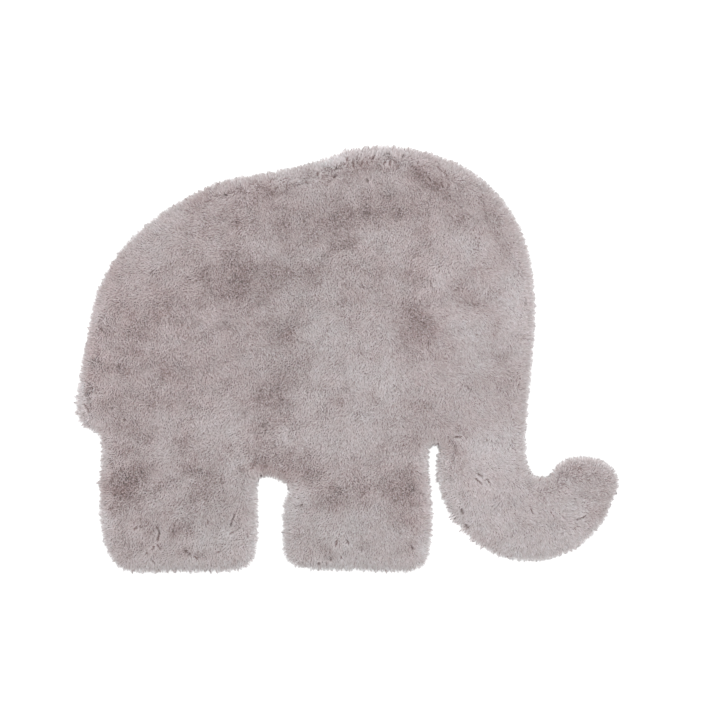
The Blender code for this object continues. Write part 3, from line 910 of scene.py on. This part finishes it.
def frames_across(along):
    """Two unit vectors across each direction: one level, one square to both."""
    level = np.column_stack((-along[:, 1], along[:, 0], np.zeros(len(along))))
    size = np.linalg.norm(level, axis=1)
    level[size < TINY] = (1, 0, 0)
    level /= np.maximum(size, TINY)[:, None]
    return level, np.cross(along, level)


def lock_mesh(stations, widths, spins):
    """Closed three-sided locks. stations: (locks, rings, 3) points from root to tip, the last
    ring one point; widths: (locks, rings - 1) distances from the middle to a corner."""
    count, rings = stations.shape[:2]
    parts = []
    for ring in range(rings - 1):
        along = stations[:, ring + 1] - stations[:, max(ring - 1, 0)]
        along /= np.linalg.norm(along, axis=1)[:, None]
        level, square = frames_across(along)
        for corner in range(3):
            turn = spins + corner * 2 * np.pi / 3
            arm = level * np.cos(turn)[:, None] + square * np.sin(turn)[:, None]
            parts.append(stations[:, ring] + arm * widths[:, ring, None])
    parts.append(stations[:, -1])
    verts = np.stack(parts, axis=1)
    verts[:, :, 2] = np.maximum(verts[:, :, 2], LOWEST)
    per_lock = verts.shape[1]
    faces = [(0, 2, 1)]
    sides = ((0, 1), (1, 2), (2, 0))
    for ring in range(rings - 2):
        low, high = ring * 3, ring * 3 + 3
        for a, b in sides:
            faces += [(low + a, low + b, high + b), (low + a, high + b, high + a)]
    low = (rings - 2) * 3
    faces += [(low + a, low + b, per_lock - 1) for a, b in sides]
    tris = np.array(faces)[None] + np.arange(count)[:, None, None] * per_lock
    return verts.reshape(-1, 3), tris.reshape(-1, 3), per_lock


def add_map(obj, tris, per_lock):
    """A colour map with a cell of its own for each lock, its root at the cell's foot."""
    count = len(obj.data.vertices) // per_lock
    columns = math.ceil(math.sqrt(count))
    rings = (per_lock - 1) // 3
    left, right = CELL_SIDES
    feet = np.linspace(left, right, rings + 1)[:-1]
    corners = ((left, 0), (right, 0), (0.5, CELL_RISE))
    cell = [(x, y + rise) for y in feet for x, rise in corners]
    cell = np.array(cell + [(0.5, CELL_TOP)])
    lock, corner = np.divmod(tris.ravel(), per_lock)
    row, column = np.divmod(lock, columns)
    places = (cell[corner] + np.column_stack((column, row))) / columns
    layer = obj.data.uv_layers.new(name="OFBake")
    layer.data.foreach_set("uv", places.astype(np.float32).ravel())


def add_locks(name, stations, widths, spins, material, **values):
    """A piece of locks. Its values are given for each lock, each ring of a lock or both."""
    verts, tris, per_lock = lock_mesh(stations, widths, spins)
    obj = mesh_object(name, verts, tris, material)
    corners = [3] * (stations.shape[1] - 1) + [1]
    for key, numbers in values.items():
        rings = np.broadcast_to(numbers, stations.shape[:2])
        values[key] = np.repeat(rings, corners, axis=1)
    add_attributes(obj, **values)
    add_map(obj, tris, per_lock)
    return obj


def build_pile(plan, draw, material):
    """The pile inside the rim. Each piece holds an even share of its locks."""
    roots = plan.lattice(PITCH, PITCH_JITTER, draw)
    inset, outs = plan.inset(roots)
    keep = inset > PILE_INSET
    roots, inset, outs = roots[keep], inset[keep], outs[keep]
    count = len(roots)

    clumps = plan.lattice(CLUMP_PITCH, CLUMP_JITTER, draw, MARGIN)
    owner = nearest_of(clumps, roots)
    clump_stray = draw.normal(0, CLUMP_SPREAD, (len(clumps), 2))
    clump_shade = draw.normal(0, 1, len(clumps))
    clump_length = draw.uniform(-1, 1, len(clumps))

    light = lightness(roots, inset)
    lean = lean_of(roots, inset, outs, light, draw)
    crease, beside, _, _ = crease_at(roots)
    standing = np.linalg.norm(lean, axis=1) + rippled(roots, STAND_RIPPLES, draw)

    def suited(pair):
        """The pair's value for how far the pile stands or lies."""
        return np.interp(standing, (STANDING, LYING), pair)

    stray = clump_stray[owner] + draw.normal(0, LOCK_SPREAD, (count, 2))
    stray *= suited(LOOSE)[:, None]
    spread = (draw.uniform(-1, 1, count) + clump_length[owner]) / 2
    length = LOCK_LENGTH * (1 + LENGTH_SPREAD * spread) * (1 - CREASE_THIN * crease)
    aim = np.column_stack((lean + stray, np.ones(count)))
    aim /= np.linalg.norm(aim, axis=1)[:, None]
    fur = np.maximum(plan.height(roots) - underfur_depth(inset), LOWEST_ROOT)
    base = np.column_stack((roots, fur - ROOT_SINK))
    tip = base + aim * length[:, None]
    pull = suited(CLUMP_PULL)
    pull *= draw.uniform(*PULL_SPREAD, len(clumps))[owner]
    pull *= smooth_step(inset, *PULL_INSETS)
    deep = np.linalg.norm(roots - clumps[owner], axis=1) / (0.5 * CLUMP_PITCH)
    centre = clumps[owner] + (tip - base)[:, :2]
    tip[:, :2] += (centre - tip[:, :2]) * pull[:, None]
    tip[:, 2] = np.maximum(tip[:, 2], LOWEST)

    stray = clump_shade[owner] * suited(CLUMP_SHADES)
    stray += draw.normal(0, 1, count) * suited(LOCK_SHADES)
    # Painted shade: a lock is darker the nearer it roots to its clump's edge, for the shadow between
    # clumps.
    stray += (CLUMP_EVEN - deep**2) * suited(CLUMP_EDGE_SHADE)
    # The patches' painted light and shade, with painted light beside a crease and painted shade in
    # it.
    shade = light + stray * (1 - SIDE_CALM * beside) + SIDE_LIGHT * beside - crease
    warmth = warmth_at(roots, draw) + draw.normal(0, CLUMP_WARMTH, len(clumps))[owner]
    # The painted shade is warmer where it is darker, and cooler in a crease.
    warmth += DARK_WARMTH * (PLAIN_LIGHT - light) - CREASE_COOL * crease
    # Painted light: cooler near the rim, for the white floor's light through the fringe.
    warmth -= RIM_COOL * (1 - smooth_step(inset, *COOL_INSETS))
    width = LOCK_WIDTH / math.sqrt(3) * draw.uniform(*WIDTH_SPREAD, count)
    width *= 1 - CREASE_THIN * crease
    spins = draw.uniform(0, 2 * np.pi, count)
    stations = np.stack((base, tip), axis=1)
    # Painted shade deep in the pile: a root is darker where the pile stands up, and darkest in a
    # crease.
    reach = np.column_stack((suited(ROOT_LIGHT_REACH) * (1 - crease), np.ones(count)))
    parts = [slice(i, None, PILE_PIECES) for i in range(PILE_PIECES)]
    return [
        add_locks(
            f"pile_{i + 1}", stations[part], width[part, None], spins[part], material,
            shade=shade[part, None], reach=reach[part], warmth=warmth[part, None],
        )
        for i, part in enumerate(parts)
    ]


def tuft_tips(plan, pitch, draw):
    """A layer of tufts along the rim: their roots on the edge and their tips."""
    step = pitch / plan.step
    places = np.arange(0, len(plan.edge), step) + draw.uniform(-TUFT_SHIFT, TUFT_SHIFT) * step
    places += draw.uniform(-TUFT_JITTER, TUFT_JITTER, len(places)) * step
    at = np.round(places).astype(int) % len(plan.edge)
    roots, outs = plan.edge[at], plan.outs[at]
    along = np.column_stack((-outs[:, 1], outs[:, 0]))
    ragged, _, slant, _ = fringe_at(roots)
    fan = slant + rippled(roots, FAN_RIPPLES, draw) + draw.normal(0, FAN_SPREAD, len(at))
    ragged *= RIM_RAGGED * (1 + rippled(roots, RAGGED_RIPPLES, draw))
    reach = RIM_REACH + ragged * np.clip(draw.normal(0, 1, len(at)), *RAGGED_LIMITS)
    reach += rippled(roots, REACH_RIPPLES, draw)
    return roots, roots + (outs + along * fan[:, None]) * reach[:, None]


def build_rim(plan, draw, material):
    """The pile at the rim, whose locks bow out over the edge and down to the floor in tufts."""
    roots = plan.lattice(RIM_PITCH, RIM_JITTER, draw)
    inset, outs = plan.inset(roots)
    keep = (inset > RIM_INSETS[0]) & (inset < RIM_INSETS[1])
    keep &= draw.uniform(0, 1, len(roots)) < RIM_SHARE
    roots, inset, outs = roots[keep], inset[keep], outs[keep]
    count = len(roots)
    top = plan.height(roots)
    goals, shades = np.empty((count, 2)), np.empty(count)
    ragged, parted, _, fine = fringe_at(roots)
    layer = draw.integers(0, len(RIM_TUFTS), count)
    layer = np.where(draw.uniform(0, 1, count) < fine, STRAND_LAYER, layer)
    for i, pitch in enumerate(RIM_TUFTS):
        tuft_roots, tips = tuft_tips(plan, pitch, draw)
        chosen = np.flatnonzero(layer == i)
        owner = nearest_of(tuft_roots, roots[chosen])
        goals[chosen] = tips[owner]
        apart = roots[chosen] - tuft_roots[owner]
        aside = apart[:, 0] * outs[chosen, 1] - apart[:, 1] * outs[chosen, 0]
        aside /= 0.5 * pitch
        shades[chosen] = draw.normal(0, TUFT_SHADES, len(tuft_roots))[owner]
        # Painted shade on a tuft's sides, for the shadow between the tufts.
        shades[chosen] += TUFT_SIDE_SHADE * (TUFT_EVEN - aside**2)
    shades *= parted
    straight = roots + outs * (inset + RIM_REACH * STRAIGHT_REACH)[:, None]
    ends = straight + (goals - straight) * draw.uniform(*TUFT_PULL, count)[:, None]
    even = EVEN_GAIN * np.clip(1 - ragged, 0, 1)
    run = draw.uniform(0, 1, count) ** (RUN_POWER / np.maximum(ragged, 1))
    run = SHORTEST_RUN + even + (RUN_GAIN - even) * run
    outward = np.einsum("ij,ij->i", ends - roots, outs) * (1 - run)
    shorter = (ends - roots) * ((1 - fine) * (1 - run))[:, None]
    ends -= shorter + outs * (fine * outward)[:, None]
    start = np.maximum(START_SHARE * top * draw.uniform(*START_SPREAD, count), LOWEST_ROOT)
    end = draw.uniform(*END_HEIGHTS, count) + SHORT_RISE * np.maximum(1 - run, 0)
    bow = draw.uniform(*BOWS, count)
    middle = np.minimum(0.5 * (start + end) + bow, top + BOW_LIMIT)
    gathered = (straight - ends) * (MIDDLE_PULL - STRAND_PULL * fine)[:, None]
    stations = np.empty((count, 3, 3))
    stations[:, 0] = np.column_stack((roots, start))
    stations[:, 1] = np.column_stack((0.5 * (roots + ends) + gathered, middle))
    stations[:, 2] = np.column_stack((ends, end))
    radius = RIM_WIDTH / math.sqrt(3) * draw.uniform(*RIM_WIDTH_SPREAD, count)
    widths = np.column_stack((radius, radius * RIM_TAPER))
    spins = draw.uniform(0, 2 * np.pi, count)
    # Painted light: a rim lock is paler the nearer it roots to the edge, for the white floor's light
    # through the fringe; it also takes the tufts' painted shade and painted shade in creases.
    shade = lightness(roots, inset) + RIM_LIGHT - RIM_FADE * inset + shades
    shade = np.minimum(shade, RIM_LIGHTEST) - RIM_CREASE * crease_at(roots)[0]
    shade += draw.normal(0, RIM_SHADES, count) * (PLAIN_SPREAD + parted)
    # Painted light: cooler towards the tips, for the white floor about them.
    warmth = warmth_at(roots, draw)[:, None] - RIM_COOLER
    return add_locks(
        "pile_rim", stations, widths, spins, material,
        shade=shade[:, None], reach=RIM_RING_SHADING, warmth=warmth,
    )


def build_ground(plan, draw, material):
    """The backing and the dense underfur on it: one closed sheet, flat underneath."""
    step = max(1, round(GROUND_STEP / plan.step))
    ring = plan.edge[::step] - plan.outs[::step] * GROUND_INSET
    within = plan.edge[::step] - plan.outs[::step] * (2 * GROUND_INSET)
    inner = plan.lattice(GROUND_PITCH, GROUND_JITTER, draw)
    inner = inner[plan.inset(inner)[0] > GROUND_INNER]
    flat = [Vector(p) for p in np.concatenate((ring, inner))]
    within_ring = 1  # the kind of result
    filled = geometry.delaunay_2d_cdt(flat, [], [list(range(len(ring)))], within_ring, 1e-7)
    sources = np.array([ids[0] for ids in filled[3]])
    faces = sources[np.array(filled[2])]
    places = np.array([tuple(p) for p in flat])
    inset, _ = plan.inset(places)
    top = plan.height(np.concatenate((within, inner)))
    height = np.maximum(top - underfur_depth(inset), LOWEST_GROUND)
    height += rippled(places, GROUND_RIPPLES, draw) * smooth_step(inset, *ROUGH_INSETS)
    count = len(places)
    tops = np.column_stack((places, height))
    verts = np.concatenate((tops, np.column_stack((places, np.zeros(count)))))
    k = np.arange(len(ring))
    after = (k + 1) % len(ring)
    walls = np.concatenate((
        np.column_stack((k + count, after + count, after)),
        np.column_stack((k + count, after, k)),
    ))
    tris = np.concatenate((faces, faces[:, ::-1] + count, walls))
    obj = mesh_object("ground", verts, tris, material)
    # Painted shade: the underfur takes a dark shade and the darkest root tone, for the shadow under
    # the locks.
    add_attributes(obj, shade=np.full(count * 2, GROUND_SHADE), reach=np.zeros(count * 2))
    return obj


# ---- materials


def attribute(tree, name):
    node = tree.nodes.new("ShaderNodeAttribute")
    node.attribute_name = name
    return node.outputs["Fac"]


def in_range(tree, value, low, high):
    """How far a value lies from low to high, as 0 to 1."""
    node = tree.nodes.new("ShaderNodeMapRange")
    node.inputs["From Min"].default_value = low
    node.inputs["From Max"].default_value = high
    tree.links.new(value, node.inputs["Value"])
    return node.outputs["Result"]


def ramp(tree, value, *stops):
    """A colour for each value, by its stops: the first at 0, the last at 1."""
    node = tree.nodes.new("ShaderNodeValToRGB")
    elements = node.color_ramp.elements
    for place, _ in stops[1:-1]:
        elements.new(place)
    for element, (_, colour) in zip(elements, stops):
        element.color = colour
    tree.links.new(value, node.inputs["Fac"])
    return node.outputs["Color"]


def times(tree, a, b):
    """One colour multiplied by another."""
    node = tree.nodes.new("ShaderNodeMix")
    node.data_type = "RGBA"
    node.blend_type = "MULTIPLY"
    node.inputs["Factor"].default_value = 1.0
    tree.links.new(a, node.inputs["A"])
    tree.links.new(b, node.inputs["B"])
    return node.outputs["Result"]


def new_material(name, sockets):
    """A material whose shader has these values on its sockets, and the shader."""
    material = bpy.data.materials.new(name)
    material.use_nodes = True
    shader = material.node_tree.nodes["Principled BSDF"]
    for socket, value in sockets.items():
        shader.inputs[socket].default_value = value
    return material, shader


def pile_material(name, dark, plain, pale):
    """The pile's colours from its darkest shade to its lightest, darker at a lock's root for the
    painted shade deep in the pile.
    """
    material, shader = new_material(name, {
        "Roughness": 0.85,
        "Specular IOR Level": 0.25,
        "Sheen Weight": 0.35,
        "Sheen Roughness": 0.45,
        "Sheen Tint": (0.95, 0.9, 0.9, 1),
    })
    tree = material.node_tree
    shade = in_range(tree, attribute(tree, "shade"), *SHADE_RANGE)
    body = ramp(tree, shade, (0, dark), (PLAIN_STOP, plain), (1, pale))
    tone = ramp(tree, attribute(tree, "reach"), (0, ROOT_PAINTED_SHADE), (1, TIP_TONE))
    warmth = in_range(tree, attribute(tree, "warmth"), *WARMTH_RANGE)
    hue = ramp(tree, warmth, (0, COOLEST), (1, WARMEST))
    tree.links.new(times(tree, times(tree, body, tone), hue), shader.inputs["Base Color"])
    return material


# ---- stage, light and camera


def add_floor():
    bpy.ops.mesh.primitive_plane_add(size=FLOOR_SIZE, location=(0, 0, -FLOOR_DEPTH))
    floor = bpy.context.object
    floor.name = "floor"
    material, _ = new_material("floor_white", {"Base Color": (0.92, 0.92, 0.92, 1), "Roughness": 0.9})
    floor.data.materials.append(material)


def add_light():
    """A square light that faces the rug."""
    light = bpy.data.lights.new("key", "AREA")
    light.shape = "SQUARE"
    light.size = 2.4
    light.energy = 66
    obj = add_object("key", light)
    obj.location = (0.2, 0.6, 3.6)
    obj.rotation_euler = (-obj.location).to_track_quat("-Z", "Y").to_euler()


def add_world():
    world = bpy.data.worlds.new("studio")
    world.use_nodes = True
    background = world.node_tree.nodes["Background"]
    background.inputs["Color"].default_value = (1, 1, 1, 1)
    background.inputs["Strength"].default_value = 1.30
    bpy.context.scene.world = world


def add_camera():
    """Straight above the floor, so that one pixel of the photograph is PIXEL on it."""
    camera = bpy.data.cameras.new("camera")
    camera.sensor_width = SENSOR
    camera.lens = SENSOR * CAMERA_HEIGHT / (PHOTO_SIDE * PIXEL)
    camera.clip_end = 50
    obj = add_object("camera", camera)
    x, y = (PHOTO_SIDE / 2 - origin for origin in ORIGIN_PX)
    obj.location = (x * PIXEL, -y * PIXEL, CAMERA_HEIGHT)
    bpy.context.scene.camera = obj


def main():
    draw = np.random.default_rng(SEED)
    plan = Plan(RUG)
    plush = pile_material("plush", *PLUSH)
    plush_rim_floor_lit = pile_material("plush_rim_floor_lit", *PLUSH_RIM_FLOOR_LIT)
    ground = build_ground(plan, draw, plush)
    pieces = build_pile(plan, draw, plush) + [build_rim(plan, draw, plush_rim_floor_lit)]
    for piece in [ground] + pieces:
        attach(piece, "root")
    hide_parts(RUG)
    add_floor()
    add_world()
    add_light()
    add_camera()
    bpy.context.scene.view_settings.view_transform = "Standard"


main()
